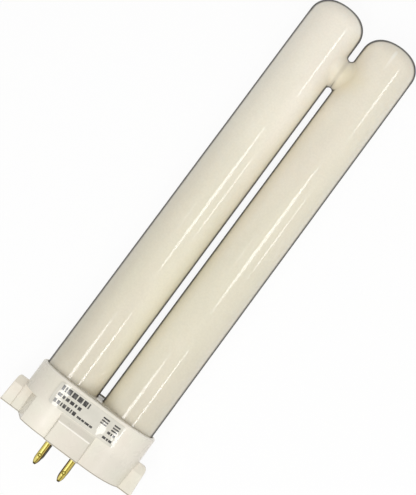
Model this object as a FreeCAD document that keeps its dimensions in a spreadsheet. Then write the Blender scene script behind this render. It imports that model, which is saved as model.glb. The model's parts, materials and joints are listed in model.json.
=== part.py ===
"""Twin-tube compact fluorescent lamp with a four-pin plastic cap, in millimetres.

Every piece is drawn in the lamp's own frame: X runs across the two tubes, Y along them from the end of
the cap to the tips, and Z from the plain back to the labelled front. The lamp lies on its back as it
comes to rest, on the back edge of the cap's rim and on the tubes near their tips, so one common
placement leans every piece by the small rest angle and sets the lowest line on Z = 0.
"""
import FreeCAD, Part
import math
import os
import re

import Sketcher

SIZES = {
    # Glass tubes
    "tube_radius": 10.0,
    "tube_gap": 2.1,
    "tube_top": 171.8,
    "right_tube_drop": 0.45,
    "left_crown_extra": 8.0,
    "left_shoulder_inset": 3.6,
    "right_crown_extra": 6.0,
    "right_shoulder_inset": 3.6,
    "tube_foot_radius": 2.5,
    # Fused bridge between the tubes
    "bridge_drop": 19.4,
    "bridge_radius": 5.45,
    "bridge_flare": 0.95,
    "seam_radius": 0.3,
    "seam_depth": 0.2,
    # Flattened glass seals under the tubes
    "pinch_width": 8.0,
    "pinch_thickness": 2.4,
    "pinch_length": 3.4,
    # Cap body
    "cap_height": 19.0,
    "side_wall": 1.1,
    "face_wall": 3.55,
    "cap_floor": 2.6,
    "rim_wall": 1.6,
    "rim_round": 0.7,
    "foot_round": 0.35,
    "seat_wall": 1.5,
    "cement_gap": 0.25,
    "cement_sink": 0.8,
    # Wiring space above the cap's floor, past the glass seals and the pins' flanges
    "wiring_side_room": 0.95,
    "wiring_face_room": 2.1,
    # Waist pockets in the rim, in front of and behind the web between the tubes
    "collar_inset": 1.5,
    "pocket_inset": 3.55,
    "pocket_deep": 6.0,
    "waist_radius": 3.0,
    # Ears at both ends
    "ear_height": 10.05,
    "ear_ridge": 7.3,
    "ear_foot_depth": 10.0,
    "ear_ridge_depth": 6.2,
    "ear_top_depth": 2.6,
    "ear_length": 4.0,
    "ear_draft": 0.5,
    "left_ear_corner": 0.8,
    "right_ear_corner": 1.6,
    "ear_round": 0.4,
    # Latch boss on the front
    "boss_width": 13.2,
    "boss_height": 10.0,
    "boss_ridge": 7.5,
    "boss_rise": 1.55,
    "boss_foot_rise": 0.8,
    "boss_draft": 0.4,
    "boss_round": 0.3,
    # Key recess in the left front corner
    "key_height": 8.9,
    "key_floor": 2.0,
    "key_inset": 3.4,
    "key_lean": 15.9,
    "crease_inset": 0.1,
    "crease_width": 0.3,
    "crease_depth": 0.4,
    # Label film
    "label_width": 25.2,
    "label_boss_gap": 0.15,
    "label_rim_gap": 1.05,
    "label_film": 0.1,
    "label_corner": 0.9,
    # Contact pins
    "pin_pitch": 9.6,
    "pin_row": 8.0,
    "pin_radius": 1.175,
    "pin_shank_extra": 0.25,
    "pin_length": 9.9,
    "pin_taper": 2.4,
    "pin_tip_radius": 0.4,
    "pin_nose_curve": 4.5,
    "pin_head_radius": 1.9,
    "pin_head_height": 0.6,
    "pin_bore_radius": 0.35,
    "pin_bore_wall": 0.8,
    "dimple_radius": 0.5,
    "dimple_depth": 0.28,
    "dimple_above_nose": 1.1,
    # Lead wires inside the cap
    "lead_radius": 0.25,
    "lead_bend": 0.8,
}

doc = FreeCAD.newDocument("lamp")
sheet = doc.addObject("Spreadsheet::Sheet", "Sizes")
for row, (name, number) in enumerate(SIZES.items(), start=1):
    sheet.set(f"A{row}", name)
    sheet.set(f"B{row}", str(number))
    sheet.setAlias(f"B{row}", name)
doc.recompute()


def bound(text):
    """The text as an expression, with each name of the sheet pointing at its cell."""
    return re.sub(r"[a-z]\w+", lambda m: f"Sizes.{m[0]}" if m[0] in SIZES else m[0], text)


def value(text):
    """The number that the text works out to."""
    result = sheet.evalExpression(bound(text))
    return float(getattr(result, "Value", result))


# Derived places, each worked out from the sizes above
TUBE_X = "(tube_radius + tube_gap / 2)"
BRIDGE_CENTRE = "(tube_top - bridge_drop)"
SEAT = "(key_height + seat_wall)"
BORE_RADIUS = "(tube_radius + cement_gap)"
CAP_FRONT = f"({BORE_RADIUS} + face_wall)"
CAP_END = f"({TUBE_X} + {BORE_RADIUS} + side_wall)"
CAP_STRAIGHT = f"({CAP_END} - {CAP_FRONT})"
COLLAR_RADIUS = f"({CAP_FRONT} - collar_inset)"
EAR_END = f"({CAP_END} + ear_length)"
KEY_FOOT = f"({CAP_END} - key_inset)"
LABEL_LOW = "(boss_height + label_boss_gap)"
PINCH_BOTTOM = f"({SEAT} - pinch_length)"
PIN_X = "(pin_pitch / 2)"
PIN_Z = "(pin_row / 2)"
PIN_SHANK_RADIUS = "(pin_radius + pin_shank_extra)"
PIN_HEAD_TOP = "(cap_floor + pin_head_height)"
DIMPLE_DROP = "(pin_length - pin_taper - dimple_above_nose)"
PIN_BORE_BOTTOM = f"({DIMPLE_DROP} - pin_bore_wall)"

# How far a cutting outline runs past the surface that it cuts, and how close counts as touching
SPILL = "1"
TOUCH = 0.01


def tube_top(side):
    """The highest level of one tube's domed end."""
    return "(tube_top - right_tube_drop)" if side == "right" else "tube_top"


def crown_radius(side):
    """Radius of the domed end's middle, which is flatter than the tube is round."""
    return f"(tube_radius + {side}_crown_extra)"


def dome_rise(side):
    """How far the shoulder's centre lies above the crown's centre in one tube's domed end."""
    inset = f"{side}_shoulder_inset"
    return f"sqrt(({side}_crown_extra + {inset})^2 - {inset}^2)"


def shoulder_level(side):
    """Where the tube's straight wall ends and its domed end begins."""
    return f"({tube_top(side)} - {crown_radius(side)} + {dome_rise(side)})"


# The rest plane touches the rim's rounded back edge and the left tube's shoulder
REST_RUN = f"({shoulder_level('left')} - (cap_height - rim_round))"
REST_RISE = f"({CAP_FRONT} - rim_round - left_shoulder_inset)"
REST_LEAN = (f"(atan({REST_RISE} / {REST_RUN}) - asin((tube_radius - left_shoulder_inset - rim_round)"
             f" / sqrt({REST_RUN}^2 + {REST_RISE}^2)))")
REST_LIFT = (f"(rim_round + ({CAP_FRONT} - rim_round) * cos({REST_LEAN})"
             f" + (cap_height - rim_round) * sin({REST_LEAN}))")
REST_MIDDLE = (f"(((tube_top - {crown_radius('left')} - pin_length) * cos({REST_LEAN})"
               f" + {crown_radius('left')} - ({PIN_Z} + pin_tip_radius) * sin({REST_LEAN})) / 2)")


def lay_down(piece):
    """Gives a piece the lamp's common placement at rest."""
    piece.Placement = FreeCAD.Placement(FreeCAD.Vector(), FreeCAD.Rotation(FreeCAD.Vector(1, 0, 0), -1))
    piece.setExpression("Placement.Rotation.Angle", bound(f"360 deg - {REST_LEAN}"))
    piece.setExpression("Placement.Base.y", bound(f"-{REST_MIDDLE}"))
    piece.setExpression("Placement.Base.z", bound(REST_LIFT))
    return piece


def new_body(label):
    """An empty body for one piece."""
    body = doc.addObject("PartDesign::Body", label)
    body.Label = label
    return body


def plane(body, role):
    """One of the body's own origin planes."""
    return next(part for part in body.Origin.OriginFeatures if part.Role == role)


def new_sketch(body, name, role, **offsets):
    """A sketch on an origin plane, with its origin moved by any x, y or z offset in its own frame."""
    sketch = body.newObject("Sketcher::SketchObject", name)
    sketch.AttachmentSupport = (plane(body, role), [""])
    sketch.MapMode = "FlatFace"
    for axis, text in offsets.items():
        sketch.setExpression(f"AttachmentOffset.Base.{axis}", bound(text))
    return sketch


def place_point(sketch, geometry, end, x, y):
    """Ties one end of a curve, or its centre, to two expressions."""
    for kind, text in (("DistanceX", x), ("DistanceY", y)):
        index = sketch.addConstraint(
            Sketcher.Constraint(kind, -1, 1, geometry, end, value(text)))
        sketch.setExpression(f"Constraints[{index}]", bound(text))


def arc_between(start, finish, radius):
    """The anticlockwise arc that joins two points, bowed left of the way for a positive radius."""
    chord = finish - start
    left = FreeCAD.Vector(-chord.y, chord.x, 0).normalize()
    height = math.sqrt(radius ** 2 - (chord.Length / 2) ** 2)
    bulge = start + chord * 0.5 + left * math.copysign(abs(radius) - height, radius)
    return Part.Arc(finish, bulge, start) if radius > 0 else Part.Arc(start, bulge, finish)


def draw(sketch, corners):
    """Draws a closed outline of (x, y) or (x, y, radius) corners; a radius bows the side that follows."""
    points = [FreeCAD.Vector(value(corner[0]), value(corner[1]), 0) for corner in corners]
    radii = [corner[2] if len(corner) > 2 else None for corner in corners]
    first = sketch.GeometryCount
    ends = []
    for index, radius in enumerate(radii):
        start, finish = points[index], points[(index + 1) % len(points)]
        curve = arc_between(start, finish, value(radius)) if radius else Part.LineSegment(start, finish)
        sketch.addGeometry(curve, False)
        ends.append((2, 1) if radius and value(radius) > 0 else (1, 2))
    for index, corner in enumerate(corners):
        after = (index + 1) % len(corners)
        sketch.addConstraint(Sketcher.Constraint(
            "Coincident", first + index, ends[index][1], first + after, ends[after][0]))
        place_point(sketch, first + index, ends[index][0], corner[0], corner[1])
        if radii[index]:
            radius = sketch.addConstraint(
                Sketcher.Constraint("Radius", first + index, abs(value(radii[index]))))
            sketch.setExpression(f"Constraints[{radius}]", bound(f"abs({radii[index]})"))
    return sketch


def add_circle(sketch, x, y, radius):
    """A circle tied to its centre and radius."""
    centre = FreeCAD.Vector(value(x), value(y), 0)
    circle = sketch.addGeometry(Part.Circle(centre, FreeCAD.Vector(0, 0, 1), value(radius)), False)
    place_point(sketch, circle, 3, x, y)
    index = sketch.addConstraint(Sketcher.Constraint("Radius", circle, value(radius)))
    sketch.setExpression(f"Constraints[{index}]", bound(radius))


def extrude(body, kind, sketch, length, midplane=False, reverse=False):
    """A Pad or a Pocket of a sketch."""
    feature = body.newObject(f"PartDesign::{kind}", f"{sketch.Name}_{kind.lower()}")
    feature.Profile = sketch
    feature.Midplane = midplane
    feature.Reversed = reverse
    feature.setExpression("Length", bound(length))
    return feature


def turn(body, kind, sketch, axis="V_Axis"):
    """A Revolution or a Groove of a sketch, all the way round an axis of the sketch."""
    feature = body.newObject(f"PartDesign::{kind}", f"{sketch.Name}_{kind.lower()}")
    feature.Profile = sketch
    feature.ReferenceAxis = (sketch, [axis])
    feature.Angle = 360
    return feature


def round_edges(body, name, radius, chosen):
    """Rounds the edges of the body's latest shape that the test picks."""
    doc.recompute()
    base = body.Tip
    names = [f"Edge{i}" for i, edge in enumerate(base.Shape.Edges, start=1) if chosen(edge)]
    if not names:
        raise ValueError(f"{body.Label}: no edge for {name}")
    fillet = body.newObject("PartDesign::Fillet", name)
    fillet.Base = (base, names)
    fillet.setExpression("Radius", bound(radius))
    return fillet


def lies_at(edge, **levels):
    """Whether the whole edge lies at the given x, y or z."""
    box = edge.BoundBox
    spans = {"x": (box.XMin, box.XMax), "y": (box.YMin, box.YMax), "z": (box.ZMin, box.ZMax)}
    return all(abs(end - level) < TOUCH for axis, level in levels.items() for end in spans[axis])


def tube_outline(side):
    """Half of one tube's section from its axis: flat foot, straight wall, shoulder and crown."""
    crown, inset = crown_radius(side), f"{side}_shoulder_inset"
    share = f"{crown} / ({side}_crown_extra + {inset})"
    return [
        ("0", SEAT),
        ("tube_radius - tube_foot_radius", SEAT, "-tube_foot_radius"),
        ("tube_radius", f"{SEAT} + tube_foot_radius"),
        ("tube_radius", shoulder_level(side), f"-(tube_radius - {inset})"),
        (f"{inset} * {share}", f"{tube_top(side)} - {crown} + {dome_rise(side)} * {share}", f"-{crown}"),
        ("0", tube_top(side)),
    ]


def make_envelope():
    """Both tubes, the bridge fused between them and the flattened seals: one piece of glass."""
    body = new_body("glass_envelope")

    def add_tube(side, sign):
        sketch = new_sketch(body, f"{side}_tube", "XY_Plane", x=f"{sign} * {TUBE_X}")
        turn(body, "Revolution", draw(sketch, tube_outline(side)))
    add_tube("right", 1)
    neck = new_sketch(body, "bridge_neck", "YZ_Plane")
    add_circle(neck, BRIDGE_CENTRE, "0", "bridge_radius")
    extrude(body, "Pad", neck, "tube_radius + tube_gap", midplane=True)
    add_tube("left", -1)

    def joins_neck(edge):
        box = edge.BoundBox
        near, far = sorted((abs(box.XMin), abs(box.XMax)))
        low, high = value(f"{BRIDGE_CENTRE} - bridge_radius"), value(f"{BRIDGE_CENTRE} + bridge_radius")
        return (near > value("tube_gap / 2") - TOUCH and far < value(TUBE_X)
                and box.YMin > low - TOUCH and box.YMax < high + TOUCH)
    round_edges(body, "bridge_flares", "bridge_flare", joins_neck)
    seam = new_sketch(body, "bridge_seam", "XY_Plane", y=BRIDGE_CENTRE)
    add_circle(seam, "0", "bridge_radius + seam_radius - seam_depth", "seam_radius")
    turn(body, "Groove", seam, "H_Axis")
    for side, sign in (("right", 1), ("left", -1)):
        pinch = new_sketch(body, f"{side}_pinch", "XY_Plane")
        inner, outer = (f"{sign} * {TUBE_X} {edge} pinch_width / 2" for edge in "-+")
        draw(pinch, [(inner, PINCH_BOTTOM), (outer, PINCH_BOTTOM),
                     (outer, f"{SEAT} + {SPILL}"), (inner, f"{SEAT} + {SPILL}")])
        extrude(body, "Pad", pinch, "pinch_thickness", midplane=True)
    return body


def ear_outline(front_foot, front_ridge, front_top):
    """Section of an ear across its length, as (y, z) corners."""
    return [
        ("0", "-ear_foot_depth / 2"), ("0", front_foot),
        ("ear_ridge", front_ridge), ("ear_height", front_top),
        ("ear_height", "-ear_top_depth / 2"), ("ear_ridge", "-ear_ridge_depth / 2"),
    ]


def add_ears(body):
    """The two end ears: wedge sections, leaning ends and rounded outer corners."""
    slope = "(ear_ridge_depth - ear_top_depth) / 2"
    right = draw(new_sketch(body, "right_ear", "YZ_Plane"),
                 ear_outline("ear_foot_depth / 2", "ear_ridge_depth / 2", "ear_top_depth / 2"))
    extrude(body, "Pad", right, EAR_END)
    left = draw(new_sketch(body, "left_ear", "YZ_Plane"),
                ear_outline("key_floor", "key_floor", f"key_floor - {slope}"))
    extrude(body, "Pad", left, EAR_END, reverse=True)
    for side, sign in (("right", 1), ("left", -1)):
        corner = f"{side}_ear_corner"
        bow = f"-{corner}" if sign > 0 else corner
        tip = f"{sign} * ({EAR_END} - ear_draft)"
        inner = f"{sign} * ({EAR_END} - ear_draft - {corner})"
        far = f"{sign} * ({EAR_END} + {SPILL})"
        trim = new_sketch(body, f"{side}_ear_end", "XY_Plane")
        draw(trim, [
            (f"{sign} * {EAR_END}", "0"), (tip, f"ear_height - {corner}", bow), (inner, "ear_height"),
            (inner, f"ear_height + {SPILL}"), (far, f"ear_height + {SPILL}"), (far, "0"),
        ])
        extrude(body, "Pocket", trim, f"2 * {CAP_FRONT}", midplane=True)

    def is_outer_ridge(edge):
        box = edge.BoundBox
        beyond_wall = max(abs(box.XMin), abs(box.XMax)) > value(f"({CAP_END} + {EAR_END}) / 2")
        upright = (box.XLength < value("ear_draft") + TOUCH and box.YMin < TOUCH
                   and box.YMax > value("ear_ridge") - TOUCH)
        return beyond_wall and (upright or lies_at(edge, y=value("ear_ridge")))
    round_edges(body, "ear_rounding", "ear_round", is_outer_ridge)


def add_boss(body):
    """The wedge-shaped latch boss on the front, with its sides drafted."""
    wedge = draw(new_sketch(body, "boss", "YZ_Plane"), [
        ("0", "0"), ("0", f"{CAP_FRONT} + boss_foot_rise"),
        ("boss_ridge", f"{CAP_FRONT} + boss_rise"), ("boss_height", CAP_FRONT), ("boss_height", "0"),
    ])
    extrude(body, "Pad", wedge, "boss_width", midplane=True)
    reach = f"({SPILL} + boss_rise)"
    for side, sign in (("right", 1), ("left", -1)):
        edge = f"{sign} * boss_width / 2"
        draft = draw(new_sketch(body, f"boss_{side}_draft", "XZ_Plane"), [
            (edge, CAP_FRONT), (edge, f"{CAP_FRONT} + {reach}"),
            (f"{sign} * (boss_width / 2 - {reach} * boss_draft)", f"{CAP_FRONT} + {reach}"),
        ])
        extrude(body, "Pocket", draft, "boss_height")
    face = value(f"{CAP_FRONT} + boss_foot_rise") - TOUCH
    round_edges(body, "boss_rounding", "boss_round", lambda edge: (
        edge.BoundBox.ZMin > face and edge.BoundBox.YMax > value("boss_ridge") - TOUCH))


def add_key(body):
    """The key recess in the left front corner, and the fine crease where its floor meets the ear."""
    front = f"({CAP_FRONT} + {SPILL})"
    recess = draw(new_sketch(body, "key_recess", "XZ_Plane"), [
        (f"-{KEY_FOOT}", "key_floor"),
        (f"-{KEY_FOOT} + tan(key_lean * 1 deg) * ({front} - key_floor)", front),
        (f"-{CAP_END} - {SPILL}", front), (f"-{CAP_END} - {SPILL}", "key_floor"),
    ])
    extrude(body, "Pocket", recess, "key_height")
    outer, inner = (f"crease_inset - {CAP_END} {edge} crease_width / 2" for edge in "-+")
    crease = draw(new_sketch(body, "key_crease", "XZ_Plane"), [
        (outer, "key_floor - crease_depth"), (inner, "key_floor - crease_depth"),
        (inner, f"key_floor + {SPILL}"), (outer, f"key_floor + {SPILL}"),
    ])
    extrude(body, "Pocket", crease, "key_height")


def add_hollows(body):
    """Tube bores, wiring space, pin holes and the two waist pockets."""
    for side, sign in (("right", 1), ("left", -1)):
        bore = draw(new_sketch(body, f"{side}_bore", "XY_Plane", x=f"{sign} * {TUBE_X}"), [
            ("0", SEAT), (BORE_RADIUS, SEAT),
            (BORE_RADIUS, f"cap_height + {SPILL}"), ("0", f"cap_height + {SPILL}"),
        ])
        turn(body, "Groove", bore)
    side = f"({TUBE_X} + pinch_width / 2 + wiring_side_room)"
    wiring = draw(new_sketch(body, "wiring_space", "XY_Plane"), [
        (f"-{side}", "cap_floor"), (side, "cap_floor"), (side, SEAT), (f"-{side}", SEAT),
    ])
    extrude(body, "Pocket", wiring, f"2 * ({PIN_Z} + pin_head_radius + wiring_face_room)", midplane=True)
    holes = new_sketch(body, "pin_holes", "XZ_Plane")
    for x in (PIN_X, f"-{PIN_X}"):
        for z in (PIN_Z, f"-{PIN_Z}"):
            add_circle(holes, x, z, PIN_SHANK_RADIUS)
    extrude(body, "Pocket", holes, "cap_floor")

    # The pocket's back follows both tubes' collars and a round waist that touches them
    wall = f"({CAP_FRONT} - rim_wall)"
    reach = f"({COLLAR_RADIUS} + waist_radius)"
    waist_z = f"sqrt({reach}^2 - {TUBE_X}^2)"
    share = f"{COLLAR_RADIUS} / {reach}"
    end_x = f"({TUBE_X} - pocket_inset)"
    end_z = f"sqrt({COLLAR_RADIUS}^2 - pocket_inset^2)"
    for side, sign in (("front", 1), ("back", -1)):
        bow = "" if sign > 0 else "-"
        turned = "-" if sign > 0 else ""
        pocket = draw(new_sketch(body, f"{side}_pocket", "XZ_Plane", z="-cap_height"), [
            (end_x, f"{sign} * {wall}"), (f"-{end_x}", f"{sign} * {wall}"),
            (f"-{end_x}", f"{sign} * {end_z}", f"{bow}{COLLAR_RADIUS}"),
            (f"-{TUBE_X} * (1 - {share})", f"{sign} * {waist_z} * {share}", f"{turned}waist_radius"),
            (f"{TUBE_X} * (1 - {share})", f"{sign} * {waist_z} * {share}", f"{bow}{COLLAR_RADIUS}"),
            (end_x, f"{sign} * {end_z}"),
        ])
        extrude(body, "Pocket", pocket, "pocket_deep", reverse=True)


def make_cap():
    """The moulded plastic cap."""
    body = new_body("cap")
    shell = draw(new_sketch(body, "cap_outline", "XZ_Plane"), [
        (f"-{CAP_STRAIGHT}", f"-{CAP_FRONT}"),
        (CAP_STRAIGHT, f"-{CAP_FRONT}", f"-{CAP_FRONT}"),
        (CAP_END, "0", f"-{CAP_FRONT}"),
        (CAP_STRAIGHT, CAP_FRONT),
        (f"-{CAP_STRAIGHT}", CAP_FRONT, f"-{CAP_FRONT}"),
        (f"-{CAP_END}", "0", f"-{CAP_FRONT}"),
    ])
    extrude(body, "Pad", shell, "cap_height", reverse=True)
    round_edges(body, "rim_rounding", "rim_round", lambda edge: lies_at(edge, y=value("cap_height")))
    round_edges(body, "foot_rounding", "foot_round", lambda edge: lies_at(edge, y=0.0))
    add_ears(body)
    add_boss(body)
    add_key(body)
    add_hollows(body)
    return body


def make_pin(label, x_sign, z_sign):
    """One hollow brass contact pin: flange and thicker shank in the cap, rounded nose, crimp dimple."""
    body = new_body(label)
    axis_x, axis_z = f"{x_sign} * {PIN_X}", f"{z_sign} * {PIN_Z}"
    section = draw(new_sketch(body, f"{label}_section", "XY_Plane", x=axis_x, z=axis_z), [
        ("pin_bore_radius", PIN_HEAD_TOP),
        ("pin_bore_radius", f"-{PIN_BORE_BOTTOM}"),
        ("0", f"-{PIN_BORE_BOTTOM}"),
        ("0", "-pin_length"),
        ("pin_tip_radius", "-pin_length", "-pin_nose_curve"),
        ("pin_radius", "-pin_length + pin_taper"),
        ("pin_radius", "0"),
        (PIN_SHANK_RADIUS, "0"),
        (PIN_SHANK_RADIUS, "cap_floor"),
        ("pin_head_radius", "cap_floor"),
        ("pin_head_radius", PIN_HEAD_TOP),
    ])
    turn(body, "Revolution", section)
    dimple = body.newObject("PartDesign::SubtractiveSphere", f"{label}_dimple")
    dimple.AttachmentSupport = (plane(body, "XY_Plane"), [""])
    dimple.MapMode = "FlatFace"
    dimple.setExpression("Radius", bound("dimple_radius"))
    dimple.setExpression("AttachmentOffset.Base.x", bound(axis_x))
    dimple.setExpression("AttachmentOffset.Base.y", bound(f"-{DIMPLE_DROP}"))
    dimple.setExpression("AttachmentOffset.Base.z", bound(
        f"{z_sign} * ({PIN_Z} + pin_radius + dimple_radius - dimple_depth)"))
    return body


def make_cement(label, sign):
    """The ring of cement that holds one tube in its bore."""
    body = new_body(label)
    low, high = f"{SEAT} + tube_foot_radius", "cap_height - cement_sink"
    section = draw(new_sketch(body, f"{label}_section", "XY_Plane", x=f"{sign} * {TUBE_X}"), [
        ("tube_radius", low), (BORE_RADIUS, low), (BORE_RADIUS, high), ("tube_radius", high),
    ])
    turn(body, "Revolution", section)
    return body


def make_label():
    """The clear label film, bent round the front of the cap."""
    body = new_body("label_film")
    outer = f"({CAP_FRONT} + label_film)"
    share = f"((label_width / 2 - {CAP_STRAIGHT}) / {CAP_FRONT})"
    level = f"sqrt(1 - {share}^2)"
    left, right = f"-{CAP_STRAIGHT}", CAP_STRAIGHT
    band = draw(new_sketch(body, "label_band", "XZ_Plane", z=f"-{LABEL_LOW}"), [
        (f"{left} - {CAP_FRONT} * {share}", f"{CAP_FRONT} * {level}", CAP_FRONT),
        (left, CAP_FRONT),
        (right, CAP_FRONT, CAP_FRONT),
        (f"{right} + {CAP_FRONT} * {share}", f"{CAP_FRONT} * {level}"),
        (f"{right} + {outer} * {share}", f"{outer} * {level}", f"-{outer}"),
        (right, outer),
        (left, outer, f"-{outer}"),
        (f"{left} - {outer} * {share}", f"{outer} * {level}"),
    ])
    extrude(body, "Pad", band, f"cap_height - label_rim_gap - {LABEL_LOW}", reverse=True)
    round_edges(body, "label_corners", "label_corner",
                lambda edge: abs(edge.Length - value("label_film")) < TOUCH)
    return body


def rounded_path(points, radius):
    """A wire through the points with an arc of that radius at each inner one."""
    edges = []
    start = points[0]
    for before, corner, after in zip(points, points[1:], points[2:]):
        back = (before - corner).normalize()
        ahead = (after - corner).normalize()
        half = back.getAngle(ahead) / 2
        cut = radius / math.tan(half)
        middle = (back + ahead).normalize()
        centre = corner + middle * (radius / math.sin(half))
        edges.append(Part.LineSegment(start, corner + back * cut).toShape())
        edges.append(Part.Arc(corner + back * cut, centre - middle * radius, corner + ahead * cut).toShape())
        start = corner + ahead * cut
    edges.append(Part.LineSegment(start, points[-1]).toShape())
    return Part.Wire(edges)


def make_lead(label, x_sign, z_sign):
    """One lead wire, from the glass seal across the wiring space and down into its pin."""
    root_x = value(f"{x_sign} * ({TUBE_X} - {z_sign} * pinch_width / 4)")
    pin_x, pin_z = value(f"{x_sign} * {PIN_X}"), value(f"{z_sign} * {PIN_Z}")
    level = value(f"({PIN_HEAD_TOP} + {PINCH_BOTTOM}) / 2")
    route = [
        FreeCAD.Vector(root_x, value(PINCH_BOTTOM), 0),
        FreeCAD.Vector(root_x, level, 0),
        FreeCAD.Vector(pin_x, level, pin_z),
        FreeCAD.Vector(pin_x, value(f"-{PIN_BORE_BOTTOM}"), pin_z),
    ]
    path = rounded_path(route, value("lead_bend"))
    section = Part.Wire(Part.makeCircle(value("lead_radius"), route[0], FreeCAD.Vector(0, -1, 0)))
    lead = doc.addObject("Part::Feature", label)
    lead.Label = label
    lead.Shape = path.makePipeShell([section], True, False)
    return lead


def check(pieces):
    """Stops unless every object computed and every piece is one valid solid."""
    for item in doc.Objects:
        if {"Invalid", "Error"} & set(item.State):
            raise RuntimeError(f"{item.Name} failed: {item.State}")
    for piece in pieces:
        shape = piece.Shape
        if shape.isNull() or not shape.isValid() or len(shape.Solids) != 1:
            raise RuntimeError(f"{piece.Label} isn't one valid solid")


def main():
    """Builds every piece, lays the lamp down and writes each piece to its own file."""
    pieces = [make_envelope(), make_cap(), make_label()]
    pieces += [make_cement("cement_left", -1), make_cement("cement_right", 1)]
    for z_name, z_sign in (("front", 1), ("back", -1)):
        for x_name, x_sign in (("left", -1), ("right", 1)):
            pieces.append(make_pin(f"pin_{z_name}_{x_name}", x_sign, z_sign))
            pieces.append(make_lead(f"lead_{z_name}_{x_name}", x_sign, z_sign))
    for piece in pieces:
        lay_down(piece)
    doc.recompute()
    check(pieces)
    os.makedirs("parts", exist_ok=True)
    for piece in pieces:
        piece.Shape.exportStep(f"parts/{piece.Label}.step")
        box = piece.Shape.optimalBoundingBox(False)
        print(f"{piece.Label}: {piece.Shape.Volume:.1f} mm3, Y {box.YMin:.2f} to {box.YMax:.2f},"
              f" Z {box.ZMin:.3f} to {box.ZMax:.3f}")


main()
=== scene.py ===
"""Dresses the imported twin-tube fluorescent lamp and sets it in a pale studio at the photograph's angle.

Places are worked out in the lamp's own frame, in millimetres: X runs across the two tubes, Y along them from
the end of the cap to the tips, Z out of the labelled front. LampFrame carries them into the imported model.
"""

import json
import logging
import math
from abc import ABC, abstractmethod
from dataclasses import dataclass
from enum import Enum

import bpy
from mathutils import Matrix, Vector


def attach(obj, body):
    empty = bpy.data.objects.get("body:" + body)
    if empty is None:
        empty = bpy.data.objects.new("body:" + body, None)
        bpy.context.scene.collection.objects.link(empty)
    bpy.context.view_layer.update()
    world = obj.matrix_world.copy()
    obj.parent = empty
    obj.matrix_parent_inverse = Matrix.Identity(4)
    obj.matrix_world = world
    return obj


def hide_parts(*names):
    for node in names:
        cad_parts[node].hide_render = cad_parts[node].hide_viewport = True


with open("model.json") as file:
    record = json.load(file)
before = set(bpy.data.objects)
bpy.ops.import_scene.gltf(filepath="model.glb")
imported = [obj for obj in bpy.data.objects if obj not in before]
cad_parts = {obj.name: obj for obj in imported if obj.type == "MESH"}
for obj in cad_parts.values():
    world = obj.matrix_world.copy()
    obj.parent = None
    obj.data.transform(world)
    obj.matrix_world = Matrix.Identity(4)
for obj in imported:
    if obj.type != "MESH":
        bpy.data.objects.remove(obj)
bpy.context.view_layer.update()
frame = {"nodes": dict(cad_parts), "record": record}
MM = 0.001
BODY = "root"
BRIDGE_LEVEL = 152.4
BRIDGE_RADIUS = 5.45
LOG = logging.getLogger("lamp")
Colour = tuple[float, float, float, float]
Triple = tuple[float, float, float]
Socket = bpy.types.NodeSocket
Material = bpy.types.Material
Piece = bpy.types.Object
WHITE: Colour = (1, 1, 1, 1)


class Slot(str, Enum):
    """Material slots of the record."""

    GLASS = "milky_glass"
    CAP = "cap_plastic"
    FILM = "clear_film"
    CEMENT = "cement"
    BRASS = "pin_brass"
    NICKEL = "lead_nickel"


class Side(int, Enum):
    """The two halves of the lamp, by the sign of X."""

    LEFT = -1
    RIGHT = 1


@dataclass(frozen=True)
class LampFrame:
    """Where the lamp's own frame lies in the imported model: its origin and its lean about X."""

    origin: Vector
    lean: float

    @classmethod
    def from_record(cls, record: dict) -> "LampFrame":
        """Reads the frame from the mount on the cap's end.

        Args:
            record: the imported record, whose mount "cap_end" lies at the lamp's origin and faces the pins.

        Returns:
            The lamp's frame.
        """
        mount = next(item for item in record["mounts"] if item["name"] == "cap_end")
        down = Vector(mount["axis"])
        return cls(origin=Vector(mount["pos_m"]), lean=math.atan2(down.z, -down.y))

    def rotation(self) -> Matrix:
        """The turn from the lamp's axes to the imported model's."""
        return Matrix.Rotation(-self.lean, 4, "X")

    def matrix(self) -> Matrix:
        """The whole way from lamp millimetres to model metres."""
        return Matrix.Translation(self.origin) @ self.rotation() @ Matrix.Scale(MM, 4)

    def point(self, x: float, y: float, z: float) -> Vector:
        """One point of the lamp, given in millimetres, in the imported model."""
        return self.matrix() @ Vector((x, y, z))


@dataclass(frozen=True)
class Step:
    """A smooth step: from low, where the source is at start, to high, where it is at end."""

    start: float
    end: float
    low: float = 0.0
    high: float = 1.0


EVENLY = Step(0.35, 0.65)


@dataclass(frozen=True)
class Band:
    """A soft band: its share within half of the middle, and nothing past the soft margin."""

    middle: float
    half: float
    soft: float
    share: float = 1.0


@dataclass(frozen=True)
class Mottle:
    """A noise pattern with that many waves to the millimetre, and the step that makes a share of it."""

    scale: float
    detail: float
    step: Step
    stretch: Triple = (1, 1, 1)


@dataclass(frozen=True)
class Spot:
    """A soft patch: its share within near of the centre, nothing past far, measured after the stretch."""

    centre: Triple
    near: float
    far: float
    share: float
    stretch: Triple = (1, 1, 1)


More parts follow.
